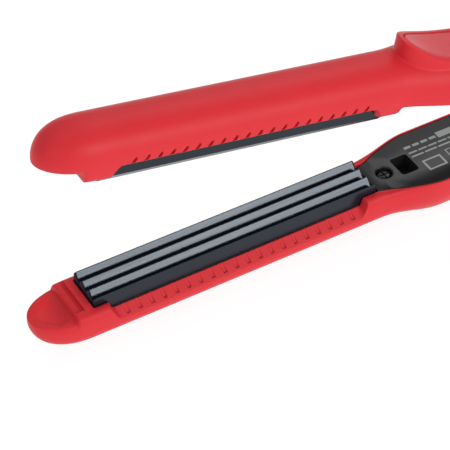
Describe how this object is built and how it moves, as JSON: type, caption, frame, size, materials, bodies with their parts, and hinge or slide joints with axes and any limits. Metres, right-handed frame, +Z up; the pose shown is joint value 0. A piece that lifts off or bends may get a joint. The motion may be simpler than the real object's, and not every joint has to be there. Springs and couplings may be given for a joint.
{
  "type": "hair crimper",
  "caption": "Hand-held hair crimper with two slim sprung arms, corrugated heated plates, soft-touch shells, a thumb rest, a sliding switch and a swivelling cord gland.",
  "frame": {"origin": "middle of the flat resting face under the handle of the lower arm", "axes": "+X along the lower arm towards the cord end, +Z up out of the resting face, the nose at -X, Y across the tool"},
  "size_m": [0.2603, 0.0244, 0.0741],
  "materials": {
    "red_shell": "soft-touch satin",
    "red_panel": "fine satin",
    "cover_grey": "satin moulded",
    "plate_coating": "glossy black ceramic coating",
    "black_plastic": "satin moulded",
    "steel": "zinc plated",
    "aluminium": "mill finish",
    "ceramic": "fired, unglazed",
    "mica": "flaky sheet",
    "white_insulation": "smooth",
    "board_green": "solder mask",
    "lens_red": "clear tinted"
  },
  "bodies": {
    "lower_arm": {"lower_shell": "red_shell", "lower_inner_cover": "cover_grey", "lower_crimp_plate": "plate_coating", "lower_plate_carrier": "black_plastic", "lower_heater": "ceramic", "lower_heater_clamp": "aluminium", "lower_insulation_sheet": "mica", "lower_heater_lead_live": "white_insulation", "lower_heater_lead_neutral": "white_insulation", "lower_cover_screw_1": "steel", "lower_cover_screw_2": "steel", "thermostat": "steel", "thermal_fuse": "white_insulation", "terminal_block": "white_insulation", "cord_clamp": "black_plastic", "hinge_pin": "steel", "hinge_spring": "steel"},
    "upper_arm": {"upper_shell": "red_shell", "upper_inner_cover": "cover_grey", "upper_crimp_plate": "plate_coating", "upper_plate_carrier": "black_plastic", "upper_heater": "ceramic", "upper_heater_clamp": "aluminium", "upper_insulation_sheet": "mica", "upper_heater_lead_live": "white_insulation", "upper_heater_lead_neutral": "white_insulation", "upper_cover_screw_1": "steel", "upper_cover_screw_2": "steel", "upper_control_board": "board_green", "upper_switch_body": "black_plastic", "indicator_led": "white_insulation", "indicator_lens": "lens_red", "thumb_rest_panel": "red_panel", "alignment_peg": "cover_grey", "hinge_cap_near": "red_shell", "hinge_cap_far": "red_shell"},
    "power_switch": {"switch_slider": "black_plastic"},
    "swivel_gland": {"cord_gland": "black_plastic"}
  },
  "joints": [
    {"name": "arm_hinge", "type": "hinge", "parent": "lower_arm", "child": "upper_arm", "pos_m": [0.0651, 0, 0.0159], "axis": [0, -1, 0], "range_deg": [0, 10.8], "stiffness_Nm_per_rad": 0.3, "springref_deg": -45.84},
    {"name": "switch_slide", "type": "slide", "parent": "upper_arm", "child": "power_switch", "axis": [0.9821, 0, -0.1886], "range_m": [0, 0.004]},
    {"name": "gland_swivel", "type": "hinge", "parent": "lower_arm", "child": "swivel_gland", "pos_m": [0.0775, 0, 0.0062], "axis": [1, 0, 0], "continuous": true}
  ]
}
